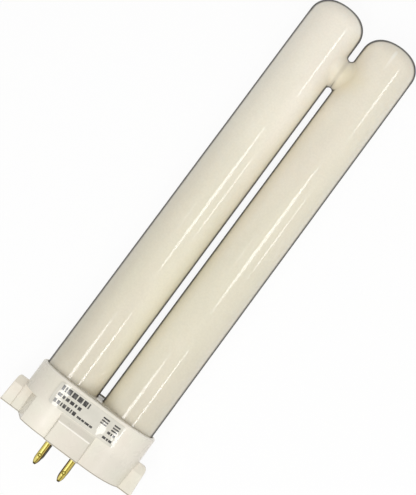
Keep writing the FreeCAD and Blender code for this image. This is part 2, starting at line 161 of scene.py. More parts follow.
class Nodes:
    """A node tree, with short calls for the nodes that this scene uses."""

    def __init__(self, tree: bpy.types.NodeTree) -> None:
        """Takes up a tree to work in."""
        self.tree = tree

    def node(self, kind: str, **settings: object) -> bpy.types.Node:
        """Adds a node.

        Args:
            kind: the node's type, without its ShaderNode prefix.
            **settings: properties of the node, by name.

        Returns:
            The new node.
        """
        node = self.tree.nodes.new(f"ShaderNode{kind}")
        for key, setting in settings.items():
            setattr(node, key, setting)
        return node

    def put(self, socket: Socket, given: object) -> None:
        """Sets a socket to a constant, or links it to another socket."""
        if isinstance(given, Socket):
            self.tree.links.new(given, socket)
        else:
            socket.default_value = given

    def math(self, operation: str, *given: object) -> Socket:
        """One operation on numbers or sockets."""
        step = self.node("Math", operation=operation)
        for socket, value in zip(step.inputs, given):
            self.put(socket, value)
        return step.outputs["Value"]

    def seen_directly(self) -> Socket:
        """1 for a ray from the camera, a reflection or a refraction, and 0 for any other."""
        path = self.node("LightPath").outputs
        total = self.math("MAXIMUM", path["Is Camera Ray"], path["Is Glossy Ray"])
        return self.math("MAXIMUM", total, path["Is Transmission Ray"])

    def show(self, output: str, share: Socket, under: Socket, over: Socket) -> None:
        """Mixes two shaders and shows the result.

        Args:
            output: the name of the output node.
            share: how much of the upper shader shows.
            under: the lower shader.
            over: the upper shader.
        """
        mix = self.node("MixShader")
        for socket, given in zip(mix.inputs, (share, under, over)):
            self.put(socket, given)
        self.put(self.tree.nodes[output].inputs["Surface"], mix.outputs[0])


class Shader(Nodes):
    """A material's node tree, with what the finishes are made of."""

    def __init__(self, name: str) -> None:
        """Starts a material with one Principled shader.

        Args:
            name: the material's name.
        """
        self.material = bpy.data.materials.new(name)
        self.material.use_nodes = True
        super().__init__(self.material.node_tree)
        self.surface = self.tree.nodes["Principled BSDF"]

    def fill(self, **given: object) -> None:
        """Fills inputs of the Principled shader, named with underscores for spaces."""
        for name, value in given.items():
            self.put(self.surface.inputs[name.replace("_", " ")], value)

    def split(self, vector: Socket) -> tuple[Socket, Socket, Socket]:
        """The three numbers of a vector or a colour."""
        parts = self.node("SeparateXYZ")
        self.put(parts.inputs["Vector"], vector)
        return parts.outputs["X"], parts.outputs["Y"], parts.outputs["Z"]

    def join(self, *numbers: object) -> Socket:
        """The vector of three numbers or sockets."""
        vector = self.node("CombineXYZ")
        for name, given in zip("XYZ", numbers):
            self.put(vector.inputs[name], given)
        return vector.outputs["Vector"]

    def times(self, first: object, *factors: object) -> Socket:
        """The product of numbers and sockets."""
        for factor in factors:
            first = self.math("MULTIPLY", first, factor)
        return first

    def fade(self, source: Socket, step: Step) -> Socket:
        """A smooth step taken on a source."""
        ramp = self.node("MapRange", interpolation_type="SMOOTHSTEP")
        names = ("Value", "From Min", "From Max", "To Min", "To Max")
        for name, given in zip(names, (source, step.start, step.end, step.low, step.high)):
            self.put(ramp.inputs[name], given)
        return ramp.outputs["Result"]

    def away(self, source: Socket, middle: float) -> Socket:
        """How far a source is from a middle, either way."""
        return self.math("ABSOLUTE", self.math("SUBTRACT", source, middle))

    def band(self, source: Socket, band: Band) -> Socket:
        """The share of a soft band at a source."""
        inside = self.fade(self.away(source, band.middle), Step(band.half, band.half + band.soft, 1.0, 0.0))
        return self.times(inside, band.share)

    def blend(self, share: object, under: object, over: object, mode: str = "MIX") -> Socket:
        """Mixes two colours by a share."""
        mix = self.node("Mix", data_type="RGBA", blend_type=mode)
        self.put(mix.inputs["Factor"], share)
        self.put(mix.inputs[6], under)
        self.put(mix.inputs[7], over)
        return mix.outputs[2]

    def cover(self, colour: object, *layers: tuple[Socket, object]) -> Socket:
        """A colour under further layers, each a share and a colour, from the lowest up."""
        for share, over in layers:
            colour = self.blend(share, colour, over)
        return colour

    def tint(self, colour: object, factor: object) -> Socket:
        """A colour times another colour or a number."""
        return self.blend(1.0, colour, factor, "MULTIPLY")

    def facing(self, normal: Socket | None = None) -> Socket:
        """Layer Weight's facing, 0 where the surface, or another normal, is seen squarely."""
        weight = self.node("LayerWeight")
        weight.inputs["Blend"].default_value = 0.5
        if normal is not None:
            self.put(weight.inputs["Normal"], normal)
        return weight.outputs["Facing"]

    def bump(self, height: Socket, depth_mm: float, under: Socket | None = None) -> Socket:
        """A bump of that depth in millimetres, on top of another where one is given."""
        bump = self.node("Bump")
        bump.inputs["Distance"].default_value = depth_mm * MM
        self.put(bump.inputs["Height"], height)
        if under is not None:
            self.put(bump.inputs["Normal"], under)
        return bump.outputs["Normal"]


class LampShader(Shader):
    """A shader that knows the place of what it colours, in lamp millimetres: across, along and out."""

    def __init__(self, name: str, lamp: LampFrame) -> None:
        """Starts a material and turns its object coordinates into lamp millimetres.

        Args:
            name: the material's name.
            lamp: the lamp's frame.
        """
        super().__init__(name)
        self.lamp = lamp
        inverse = lamp.matrix().inverted()
        turn = self.node("Mapping", vector_type="POINT")
        turn.inputs["Scale"].default_value = (1 / MM, 1 / MM, 1 / MM)
        turn.inputs["Rotation"].default_value = inverse.to_euler()
        turn.inputs["Location"].default_value = inverse.to_translation()
        self.put(turn.inputs["Vector"], self.node("TexCoord").outputs["Object"])
        self.place = turn.outputs["Vector"]
        self.across, self.along, self.out = self.split(self.place)

    def stretched(self, stretch: Triple) -> Socket:
        """The place times factors on its axes, which draw a pattern out along them."""
        squeeze = self.node("VectorMath", operation="MULTIPLY")
        self.put(squeeze.inputs[0], self.place)
        squeeze.inputs[1].default_value = stretch
        return squeeze.outputs["Vector"]

    def noise(self, scale: float, detail: float = 2.0, stretch: Triple = (1, 1, 1)) -> Socket:
        """A noise pattern with that many waves to the millimetre, from 0 to 1."""
        pattern = self.node("TexNoise")
        for name, given in (("Vector", self.stretched(stretch)), ("Scale", scale), ("Detail", detail)):
            self.put(pattern.inputs[name], given)
        return pattern.outputs["Fac"]

    def mottle(self, pattern: Mottle) -> Socket:
        """The share that a noise pattern gives."""
        return self.fade(self.noise(pattern.scale, pattern.detail, pattern.stretch), pattern.step)

    def spot(self, spot: Spot, place: Socket | None = None) -> Socket:
        """The share of a soft patch at the lamp's place, or at another one."""
        gap = self.node("VectorMath", operation="DISTANCE")
        self.put(gap.inputs[0], self.stretched(spot.stretch) if place is None else place)
        gap.inputs[1].default_value = spot.centre
        return self.fade(gap.outputs["Value"], Step(spot.near, spot.far, spot.share, 0.0))


class Finish(ABC):
    """One material of the lamp: its name and how it is painted."""

    name: str

    def material(self, lamp: LampFrame) -> Material:
        """Builds the finish.

        Args:
            lamp: the lamp's frame.

        Returns:
            The material.
        """
        shader = LampShader(self.name, lamp)
        self.paint(shader)
        return shader.material

    @abstractmethod
    def paint(self, shader: LampShader) -> None:
        """Fills the inputs of the Principled shader."""


@dataclass(frozen=True)
class MilkyGlass(Finish):
    """Clear glossy glass over a cream phosphor coat, a little darker and greyer towards the cap.

    A painted shade darkens the clear glass at its outline, painted light makes the coat paler where the tubes
    light each other, and painted shade dulls the lamp's left side.
    """

    name: str = "milky_glass"
    foot: Colour = (0.66, 0.615, 0.502, 1)
    middle: Colour = (0.748, 0.702, 0.573, 1)
    left_tip: Colour = (0.905, 0.85, 0.745, 1)
    right_tip: Colour = (0.84, 0.783, 0.663, 1)
    foot_level: float = 12.0
    middle_level: float = 70.0
    tip_level: float = 165.0
    lower: Step = Step(foot_level, middle_level)
    upper: Step = Step(middle_level, tip_level)
    sides: Step = Step(-4.0, 4.0)
    drift_scale: float = 0.03
    drift_reach: float = 15.0
    powder: Mottle = Mottle(1.4, 6.0, Step(0.3, 0.7, 0.975, 1.015))
    cloud: Mottle = Mottle(0.09, 3.0, Step(0.3, 0.7, 0.97, 1.02), (1, 0.35, 1))
    hue: Mottle = Mottle(0.07, 1.0, EVENLY, (1, 0.3, 1))
    rosy: Colour = (1.003, 0.994, 0.985, 1)
    leafy: Colour = (0.995, 0.998, 0.975, 1)
    gap: Band = Band(0.0, 2.0, 8.0)
    painted_gap_light: Step = Step(foot_level, middle_level, 0.16, 0.1)
    beyond_bridge: Step = Step(BRIDGE_RADIUS, BRIDGE_RADIUS + 9.0)
    painted_left_shade: Step = Step(-21.0, -13.0, 0.955, 1.0)
    thin_coat: Colour = (0.97, 0.94, 0.86, 1)
    thin_patch: Spot = Spot((10.8, 19.75, 9.6), 0.25, 0.85, 0.6, (1, 0.12, 1))
    bridge_tint: Colour = (0.80, 0.70, 0.45, 1)
    bridge_patch: Spot = Spot((3.2, BRIDGE_LEVEL - 1, 7), 1.0, 9.0, 0.5)
    seam_and_shade_tint: Colour = (0.30, 0.25, 0.18, 1)
    seam_line: Band = Band(0.0, 0.1, 0.28)
    seam_ends: Step = Step(0.45 * BRIDGE_RADIUS, BRIDGE_RADIUS, 0.1, 0.85)
    painted_valley_shade: Band = Band(-0.2, 0.1, 1.1, 0.26)
    seam_reach: Step = Step(BRIDGE_RADIUS + 0.4, BRIDGE_RADIUS + 0.8, 1.0, 0.0)
    speck: Colour = (0.14, 0.11, 0.09, 1)
    speck_scale: float = 0.09
    speck_pick: float = 0.84
    speck_dot: Step = Step(0.012, 0.024, 0.7, 0.0)
    painted_outline_shade: Colour = (0.022, 0.02, 0.014, 1)
    dome_shade: Step = Step(160.0, 168.0, 0.0, 0.07)
    edge_shade: Step = Step(0.23, 0.42, 0.97, 0.0)
    edge_gloss: Step = Step(0.26, 0.45, 0.03, 1.0)
    dull_patch: Spot = Spot((0, BRIDGE_LEVEL, 6), 2.0, 5.0, 0.35)
    wave_scale: float = 0.2
    wave_stretch: Triple = (1, 0.1, 1)
    wave_depth: float = 0.0005

    def paint(self, shader: LampShader) -> None:
        """Lays the coat's tones with their painted light and shade, then its marks with the painted shade of
        the bridge's valley, then the painted shade at the outline and the gloss of the clear glass.
        """
        drift = shader.math("MULTIPLY_ADD", shader.noise(self.drift_scale), 2 * self.drift_reach,
                            -self.drift_reach)
        level = shader.math("ADD", shader.along, drift)
        colour = shader.blend(shader.fade(level, self.lower), self.foot, self.middle)
        tip = shader.blend(shader.fade(shader.across, self.sides), self.left_tip, self.right_tip)
        colour = shader.blend(shader.fade(level, self.upper), colour, tip)
        colour = shader.tint(colour, shader.times(shader.mottle(self.powder), shader.mottle(self.cloud)))
        colour = shader.tint(colour, shader.blend(shader.mottle(self.hue), self.rosy, self.leafy))
        # Painted light where the tubes face each other and painted shade at the lamp's left side.
        colour = shader.tint(colour, self._shared_light(shader))
        # The outline of the clear glass gets a painted shade, reaching further in on the domes.
        wall = shader.math("SUBTRACT", self._wall(shader), shader.fade(shader.along, self.dome_shade))
        colour = shader.cover(
            colour, (shader.spot(self.thin_patch), self.thin_coat),
            (shader.spot(self.bridge_patch), self.bridge_tint), (self._seam_and_valley_shade(shader), self.seam_and_shade_tint),
            (self._specks(shader), self.speck), (shader.fade(wall, self.edge_shade), self.painted_outline_shade))
        gloss = shader.math("SUBTRACT", shader.fade(wall, self.edge_gloss), shader.spot(self.dull_patch))
        gloss = shader.math("MAXIMUM", gloss, self.edge_gloss.low)
        normal = shader.bump(shader.noise(self.wave_scale, 1.0, self.wave_stretch), self.wave_depth)
        shader.fill(
            Base_Color=colour, Normal=normal, Roughness=0.5, Specular_IOR_Level=0.2,
            Coat_Weight=gloss, Coat_Normal=normal, Coat_Roughness=0.09, Coat_IOR=1.5,
            Subsurface_Weight=0.35, Subsurface_Scale=0.005, Subsurface_Radius=(1.0, 0.9, 0.8))

    def _shared_light(self, shader: LampShader) -> Socket:
        """A factor on the coat that paints light and shade: painted light where the tubes face each other,
        painted shade at the lamp's left side.
        """
        inner = shader.times(
            shader.band(shader.across, self.gap), shader.fade(shader.along, self.painted_gap_light),
            shader.fade(shader.away(shader.along, BRIDGE_LEVEL), self.beyond_bridge))
        return shader.times(shader.math("ADD", inner, 1.0), shader.fade(shader.across, self.painted_left_shade))

    def _seam_and_valley_shade(self, shader: LampShader) -> Socket:
        """The dark line where the bridge's halves met, strongest at its ends, in a faint band of painted
        shade down the bridge's valley.
        """
        reach = shader.away(shader.along, BRIDGE_LEVEL)
        line = shader.times(shader.band(shader.across, self.seam_line), shader.fade(reach, self.seam_ends))
        # The wide faint band is painted shade in the bridge's valley.
        marked = shader.math("MAXIMUM", line, shader.band(shader.across, self.painted_valley_shade))
        return shader.times(marked, shader.fade(reach, self.seam_reach))

    def _specks(self, shader: LampShader) -> Socket:
        """A few tiny dark specks: the middles of a small share of the cells."""
        cells = shader.node("TexVoronoi")
        shader.put(cells.inputs["Scale"], self.speck_scale)
        shader.put(cells.inputs["Vector"], shader.place)
        chosen = shader.math("GREATER_THAN", shader.split(cells.outputs["Color"])[0], self.speck_pick)
        return shader.times(chosen, shader.fade(cells.outputs["Distance"], self.speck_dot))

    def _wall(self, shader: LampShader) -> Socket:
        """How squarely the wall is seen across the tube: 0 at its outline, where the glass is thickest."""
        tube_axis = shader.join(*(shader.lamp.rotation() @ Vector((0, 1, 0))))
        square = shader.math("SUBTRACT", 1.0, shader.facing())
        end_on = shader.math("SUBTRACT", 1.0, shader.facing(tube_axis))
        # A hair over 1 keeps the root real and the division possible where a tube is seen along its axis.
        across = shader.math("SQRT", shader.math("SUBTRACT", 1.0001, shader.math("POWER", end_on, 2.0)))
        return shader.math("DIVIDE", square, across)


@dataclass(frozen=True)
class CapPlastic(Finish):
    """Warm white satin moulding with faint mottling, handling marks and a fine grain.

    A painted highlight runs along its rim and the ridge of the latch boss, painted light and shade lie on the
    low wall between the ears, and a thin line of painted shade runs round its end.
    """

    name: str = "cap_plastic"
    fresh: Colour = (0.785, 0.745, 0.65, 1)
    aged: Colour = (0.755, 0.71, 0.61, 1)
    age: Mottle = Mottle(0.08, 3.0, Step(0.35, 0.7))
    smudge: Colour = (0.40, 0.35, 0.30, 1)
    smudges: Mottle = Mottle(0.5, 4.0, Step(0.68, 0.78, 0.0, 0.12))
    thumbed: Spot = Spot((-1.9, 12.9, 14.9), 0.1, 1.6, 1.0, (0.7, 1.6, 1))
    thumbed_grain: Mottle = Mottle(1.6, 4.0, Step(0.5, 0.68, 0.0, 0.55))
    hue: Mottle = Mottle(0.12, 1.0, EVENLY)
    rosy: Colour = (1.005, 0.99, 0.99, 1)
    leafy: Colour = (0.99, 1.0, 0.985, 1)
    low_wall: Step = Step(7.0, 11.0, 1.0, 0.0)
    between_ears: Band = Band(0.0, 17.0, 4.0)
    painted_light_to_shade: Step = Step(-12.0, 12.0, 0.06, -0.075)
    boss_shade: Colour = (0.92, 0.915, 0.91, 1)
    boss_front: Step = Step(14.0, 14.3)
    painted_edge_highlight: Colour = (0.96, 0.92, 0.84, 1)
    rim: Band = Band(18.8, 0.1, 0.3, 0.45)
    ridge: Band = Band(7.45, 0.12, 0.22, 0.8)
    ridge_width: Band = Band(0.0, 6.3, 0.3)
    ridge_front: float = 14.7
    painted_end_shade: Colour = (0.17, 0.145, 0.11, 1)
    painted_end_shade_line: Band = Band(0.24, 0.08, 0.14, 0.65)
    satin: Mottle = Mottle(0.35, 3.0, Step(0.3, 0.7, 0.24, 0.34))
    wave_scale: float = 0.25
    wave_depth: float = 0.012
    grain_scale: float = 5.0
    grain_depth: float = 0.0006

    def paint(self, shader: LampShader) -> None:
        """Lays the plastic's tones and the marks of handling, then the painted light and shade of the low
        wall, the boss's shade, the painted edge highlights and the painted shade line round its end.
        """
        thumbed = shader.times(shader.spot(self.thumbed), shader.mottle(self.thumbed_grain))
        colour = shader.cover(
            self.fresh, (shader.mottle(self.age), self.aged), (shader.mottle(self.smudges), self.smudge),
            (thumbed, self.smudge))
        colour = shader.tint(colour, shader.blend(shader.mottle(self.hue), self.rosy, self.leafy))
        # Painted light at the low wall's left and painted shade at its right.
        colour = shader.tint(colour, self._painted_low_wall_light(shader))
        boss = shader.fade(shader.out, self.boss_front)
        colour = shader.cover(
            colour, (boss, shader.tint(colour, self.boss_shade)),
            # A painted highlight along the rim and the boss's ridge.
            (self._painted_edge_highlights(shader), self.painted_edge_highlight),
            # A thin line of painted shade round the cap's end.
            (shader.band(shader.along, self.painted_end_shade_line), self.painted_end_shade))
        waves = shader.bump(shader.noise(self.wave_scale, 1.0), self.wave_depth)
        normal = shader.bump(shader.noise(self.grain_scale), self.grain_depth, waves)
        shader.fill(
            Base_Color=colour, Roughness=shader.mottle(self.satin), IOR=1.5, Specular_IOR_Level=0.35,
            Normal=normal)

    def _painted_low_wall_light(self, shader: LampShader) -> Socket:
        """Painted light and shade on the low part of the wall between the ears: a factor that is paler at its
        left and duller at its right.
        """
        share = shader.times(
            shader.fade(shader.along, self.low_wall), shader.band(shader.across, self.between_ears),
            shader.fade(shader.across, self.painted_light_to_shade))
        return shader.math("ADD", share, 1.0)

    def _painted_edge_highlights(self, shader: LampShader) -> Socket:
        """Painted highlights on the cap's rim and on the ridge across the latch boss."""
        ridge = shader.times(
            shader.band(shader.along, self.ridge), shader.band(shader.across, self.ridge_width),
            shader.math("GREATER_THAN", shader.out, self.ridge_front))
        return shader.math("MAXIMUM", shader.band(shader.along, self.rim), ridge)


@dataclass(frozen=True)
class Brass(Finish):
    """Rolled brass pin with painted light: a painted highlight strip left of its front, a painted dark
    reflection line, painted dark flanks, painted shade and highlight at the dimple, and a dark nose.

    Angles are in radians round the pin's own axis, and each pin's dark flank is towards the other pin.
    """

    name: str = "pin_brass"
    bright: Colour = (0.58, 0.48, 0.12, 1)
    painted_highlight: Colour = (0.78, 0.69, 0.23, 1)
    copper: Colour = (0.56, 0.38, 0.13, 1)
    dark_reflection_and_shade: Colour = (0.15, 0.12, 0.015, 1)
    dark_flanks_and_nose: Colour = (0.045, 0.03, 0.01, 1)
    half_pitch: float = 4.8
    half_row: float = 4.0
    drawn_scale: float = 1.6
    drawn_stretch: Triple = (1, 0.08, 1)
    drawn_copper: Step = Step(0.35, 0.7, 0.0, 0.3)
    drawn_satin: Step = Step(0.3, 0.7, 0.24, 0.34)
    drawn_depth: float = 0.001
    # A painted highlight band and a painted dark reflection band, at angles round the pin.
    highlight_band: Band = Band(-0.30, 0.1, 0.3, 0.85)
    dark_reflection_band: Band = Band(0.26, 0.07, 0.17, 0.85)
    copper_band: Band = Band(0.62, 0.05, 0.2, 0.6)
    dimple: Triple = (0.0, -6.4, 1.15)
    # Painted shade round the dimple and a painted highlight in it.
    dimple_rim: Spot = Spot(dimple, 0.62, 0.74, 0.92)
    dimple_floor: Spot = Spot(dimple, 0.32, 0.42, 0.95)
    inner_flank: Step = Step(0.55, 0.9)
    outer_flank: Step = Step(-1.25, -0.75, 0.85, 0.0)
    nose: Step = Step(-9.6, -8.9, 0.97, 0.0)

    def paint(self, shader: LampShader) -> None:
        """Lays the drawn brass, then its painted highlight strip, its painted dark reflection line and the
        dimple's painted shade and highlight, then the painted dark flanks and the dark nose.
        """
        across = self._from_axis(shader, shader.across, self.half_pitch)
        out = shader.math("ABSOLUTE", self._from_axis(shader, shader.out, self.half_row))
        angle = shader.math("ARCTAN2", across, out)
        inward = shader.times(angle, shader.times(shader.math("SIGN", shader.across), -1.0))
        drawn = shader.noise(self.drawn_scale, 3.0, self.drawn_stretch)
        own = shader.join(across, shader.along, out)
        # Both flanks get painted dark reflections, and the nose is darker.
        flank = shader.fade(inward, self.inner_flank)
        flanks = shader.math("MAXIMUM", flank, shader.fade(inward, self.outer_flank))
        dark_share = shader.math("MAXIMUM", flanks, shader.fade(shader.along, self.nose))
        # The strip and the dimple's floor are painted highlights, the seam band a painted dark reflection,
        # the dimple's rim painted shade.
        colour = shader.cover(
            self.bright, (shader.fade(drawn, self.drawn_copper), self.copper),
            (shader.band(angle, self.highlight_band), self.painted_highlight),
            (shader.band(angle, self.dark_reflection_band), self.dark_reflection_and_shade),
            (shader.band(inward, self.copper_band), self.copper),
            (shader.spot(self.dimple_rim, own), self.dark_reflection_and_shade),
            (shader.spot(self.dimple_floor, own), self.painted_highlight), (dark_share, self.dark_flanks_and_nose))
        shader.fill(
            Base_Color=colour, Metallic=1.0, Roughness=shader.fade(drawn, self.drawn_satin),
            Normal=shader.bump(drawn, self.drawn_depth))

    def _from_axis(self, shader: LampShader, source: Socket, half: float) -> Socket:
        """How far a coordinate lies from its own pin's axis."""
        return shader.math("SUBTRACT", source, shader.times(shader.math("SIGN", source), half))


@dataclass(frozen=True)
class TwoTone(Finish):
    """A plain finish in two tones, with a bump where that has a depth."""

    name: str
    main: Colour
    patch: Colour
    patches: Mottle
    roughness: float
    metallic: float = 0.0
    bump_scale: float = 1.0
    bump_detail: float = 1.0
    bump_depth: float = 0.0

    def paint(self, shader: LampShader) -> None:
        """Lays both tones and the bump."""
        colour = shader.blend(shader.mottle(self.patches), self.main, self.patch)
        shader.fill(Base_Color=colour, Metallic=self.metallic, Roughness=self.roughness)
        if self.bump_depth > 0:
            height = shader.noise(self.bump_scale, self.bump_detail)
            shader.fill(Normal=shader.bump(height, self.bump_depth))


LABEL_GLOSS = TwoTone(
    "label_film", (0.635, 0.61, 0.53, 1), (0.68, 0.65, 0.565, 1), Mottle(0.25, 3.0, EVENLY), 0.06,
    bump_scale=0.5, bump_depth=0.01)
PRINT_INK = TwoTone(
    "print_ink", (0.035, 0.033, 0.03, 1), (0.12, 0.115, 0.105, 1), Mottle(1.2, 3.0, Step(0.45, 0.7)), 0.12)
BASING_CEMENT = TwoTone(
    "basing_cement", (0.62, 0.6, 0.54, 1), (0.5, 0.48, 0.42, 1), Mottle(1.5, 4.0, EVENLY), 0.9,
    bump_scale=1.5, bump_detail=4.0, bump_depth=0.01)
LEAD_NICKEL = TwoTone(
    "lead_nickel", (0.55, 0.53, 0.49, 1), (0.4, 0.38, 0.35, 1), Mottle(3.0, 4.0, EVENLY), 0.35, metallic=1.0,
    bump_scale=3.0, bump_detail=4.0, bump_depth=0.01)


def deselect() -> None:
    """Leaves object mode and clears the selection."""
    if bpy.context.object is not None and bpy.context.object.mode != "OBJECT":
        bpy.ops.object.mode_set(mode="OBJECT")
    bpy.ops.object.select_all(action="DESELECT")


def activate(piece: Piece) -> None:
    """Makes a piece the only one selected, and the active one."""
    deselect()
    piece.select_set(True)
    bpy.context.view_layer.objects.active = piece


def bake_place() -> None:
    """Moves the selected piece's place, turn and size into its mesh."""
    bpy.ops.object.transform_apply(location=True, rotation=True, scale=True)


def open_mesh(piece: Piece) -> None:
    """Takes a piece into edit mode with its whole mesh selected."""
    activate(piece)
    bpy.ops.object.mode_set(mode="EDIT")
    bpy.ops.mesh.select_all(action="SELECT")


def close_mesh() -> None:
    """Turns all faces outwards and leaves edit mode."""
    bpy.ops.mesh.select_all(action="SELECT")
    bpy.ops.mesh.normals_make_consistent(inside=False)
    bpy.ops.object.mode_set(mode="OBJECT")


def flat_grid(columns: int, rows: int, width: float, height: float, centre: Triple) -> Piece:
    """A flat rectangular grid that faces Z, with its place in its mesh.

    Args:
        columns: faces across.
        rows: faces up.
        width: its size along X.
        height: its size along Y.
        centre: where its middle lies.

    Returns:
        The grid.
    """
    deselect()
    bpy.ops.mesh.primitive_grid_add(x_subdivisions=columns, y_subdivisions=rows, size=1, location=centre)
    bpy.ops.transform.resize(value=(width, height, 1), center_override=centre)
    bake_place()
    return bpy.context.object


def apply_modifier(piece: Piece, kind: str, **settings: object) -> None:
    """Adds a modifier to a piece and applies it.

    Args:
        piece: the piece.
        kind: the modifier's type.
        **settings: its properties, by name.
    """
    activate(piece)
    modifier = piece.modifiers.new(kind.lower(), kind)
    for name, given in settings.items():
        setattr(modifier, name, given)
    bpy.ops.object.modifier_apply(modifier=modifier.name)


def unite(piece: Piece, other: Piece) -> None:
    """Fuses another closed shape into a piece and removes the other."""
    apply_modifier(piece, "BOOLEAN", operation="UNION", solver="EXACT", object=other)
    bpy.data.objects.remove(other)


def settle(piece: Piece, lamp: LampFrame, slot: Slot, material: Material, *nodes: str) -> None:
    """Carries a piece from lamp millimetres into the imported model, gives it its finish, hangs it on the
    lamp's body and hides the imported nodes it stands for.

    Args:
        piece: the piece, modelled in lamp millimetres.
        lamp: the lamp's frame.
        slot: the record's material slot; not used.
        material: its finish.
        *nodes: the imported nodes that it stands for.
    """
    activate(piece)
    bake_place()
    piece.data.transform(lamp.matrix())
    piece.data.materials.clear()
    piece.data.materials.append(material)
    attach(piece, BODY)
    if nodes:
        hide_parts(*nodes)
    LOG.info("built %s, %d faces", piece.name, len(piece.data.polygons))


@dataclass(frozen=True)
class TubeEnd:
    """The domed end of one tube: where it tops out, how flat its crown is, and how far in its round turns."""

    side: Side
    top: float
    crown_extra: float
    shoulder_inset: float


@dataclass(frozen=True)
class Envelope:
    """Both tubes, blown and fused at a smooth saddle-shaped bridge, with the flattened seals under them."""

    ends: tuple[TubeEnd, TubeEnd] = (
        TubeEnd(Side.LEFT, 171.8, 8.0, 3.6),
        TubeEnd(Side.RIGHT, 171.35, 6.0, 3.6),
    )
    tube_radius: float = 10.0
    tube_gap: float = 2.1
    seat: float = 10.4
    foot_radius: float = 2.5
    segments: int = 144
    foot_steps: int = 6
    shoulder_steps: int = 14
    crown_steps: int = 9
    wall_step: float = 3.0
    weld: float = 0.003
    smooth_angle: float = math.radians(50)
    wave_height: float = 0.008
    wave_length: float = 62.0
    second_wave: float = 1.7
    wave_past_bridge: float = 2.0
    wave_rise_at_bridge: float = 12.0
    wave_rise_at_foot: float = 20.0
    bridge_bulge: float = 0.3
    bridge_sink: float = 0.02
    bridge_segments: int = 128
    bridge_rings: int = 38
    bridge_root: float = 2.0
    bridge_root_radius: float = 4.0
    fillet_halvings: int = 50
    least_cosine: float = 0.001
    seam_depth: float = 0.06
    seam_half: float = 0.25
    pinch: Triple = (8.0, 3.4, 2.4)
    pinch_root: float = 1.0
    pinch_round: float = 0.3
    pinch_round_steps: int = 3

    def build(self, lamp: LampFrame, material: Material) -> None:
        """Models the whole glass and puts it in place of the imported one.

        Args:
            lamp: the lamp's frame.
            material: its finish.
        """
        glass, right = (self._tube(end) for end in self.ends)
        glass.name = "blown_envelope"
        unite(glass, self._bridge())
        unite(glass, right)
        for side in Side:
            unite(glass, self._pinch(side))
        open_mesh(glass)
        bpy.ops.mesh.remove_doubles(threshold=self.weld)
        close_mesh()
        bpy.ops.object.shade_smooth_by_angle(angle=self.smooth_angle)
        settle(glass, lamp, Slot.GLASS, material, "glass_envelope")

    def _tube_x(self, side: Side) -> float:
        """Where a tube's axis lies."""
        return side.value * (self.tube_radius + self.tube_gap / 2)

    def _profile(self, end: TubeEnd) -> list[tuple[float, float]]:
        """One tube's section from the middle of its foot to just short of its tip, as radii and levels."""
        foot = self.foot_radius
        wall_start = self.seat + foot
        points = []
        for step in range(self.foot_steps + 1):
            turn = math.pi / 2 * step / self.foot_steps
            radius = self.tube_radius - foot + foot * math.sin(turn)
            points.append((radius, wall_start - foot * math.cos(turn)))
        crown = self.tube_radius + end.crown_extra
        hub = end.crown_extra + end.shoulder_inset
        rise = math.sqrt(hub ** 2 - end.shoulder_inset ** 2)
        shoulder = self.tube_radius - end.shoulder_inset
        shoulder_level = end.top - crown + rise
        wall = shoulder_level - self.seat - foot
        steps = round(wall / self.wall_step)
        for step in range(1, steps):
            points.append((self.tube_radius, wall_start + wall * step / steps))
        meet = math.asin(end.shoulder_inset / hub)
        for step in range(self.shoulder_steps + 1):
            turn = (math.pi / 2 - meet) * step / self.shoulder_steps
            radius = end.shoulder_inset + shoulder * math.cos(turn)
            points.append((radius, shoulder_level + shoulder * math.sin(turn)))
        for step in range(1, self.crown_steps):
            turn = meet * (1 - step / self.crown_steps)
            points.append((crown * math.sin(turn), end.top - crown + crown * math.cos(turn)))
        return points

    def _tube(self, end: TubeEnd) -> Piece:
        """One tube, drawn ring by ring from its foot to its tip, with the faint waves of drawn glass."""
        profile = self._profile(end)
        middle = self._tube_x(end.side)
        radius, level = profile[0]
        deselect()
        bpy.ops.mesh.primitive_circle_add(vertices=self.segments, radius=radius, fill_type="NGON",
                                          location=(middle, level, 0), rotation=(-math.pi / 2, 0, 0))
        tube = bpy.context.object
        bake_place()
        open_mesh(tube)
        for next_radius, next_level in profile[1:]:
            bpy.ops.mesh.extrude_region_move(TRANSFORM_OT_translate={"value": (0, next_level - level, 0)})
            share = next_radius / radius
            bpy.ops.transform.resize(value=(share, 1, share), center_override=(middle, next_level, 0))
            radius, level = next_radius, next_level
        bpy.ops.mesh.extrude_region_move(TRANSFORM_OT_translate={"value": (0, end.top - level, 0)})
        bpy.ops.mesh.merge(type="CENTER")
        close_mesh()
        for vertex in tube.data.vertices:
            x, y, z = vertex.co
            swell = 1 - self._wave(math.atan2(z, x - middle), y, end.side) / self.tube_radius
            vertex.co = (middle + (x - middle) * swell, y, z * swell)
        return tube

    def _wave(self, turn: float, level: float, side: Side) -> float:
        """How far the glass lies inside its true circle: two slow waves, none at the foot or the bridge."""
        from_bridge = abs(level - BRIDGE_LEVEL) - BRIDGE_RADIUS - self.wave_past_bridge
        from_foot = level - self.seat - self.foot_radius
        bridge_share = min(1.0, max(0.0, from_bridge / self.wave_rise_at_bridge))
        foot_share = min(1.0, max(0.0, from_foot / self.wave_rise_at_foot))
        phase = 2 * math.pi * level / self.wave_length
        wave = (2 + math.sin(phase + side.value) * math.cos(turn + side.value)
                + math.sin(self.second_wave * phase) * math.cos(2 * turn))
        return self.wave_height * wave * bridge_share * foot_share

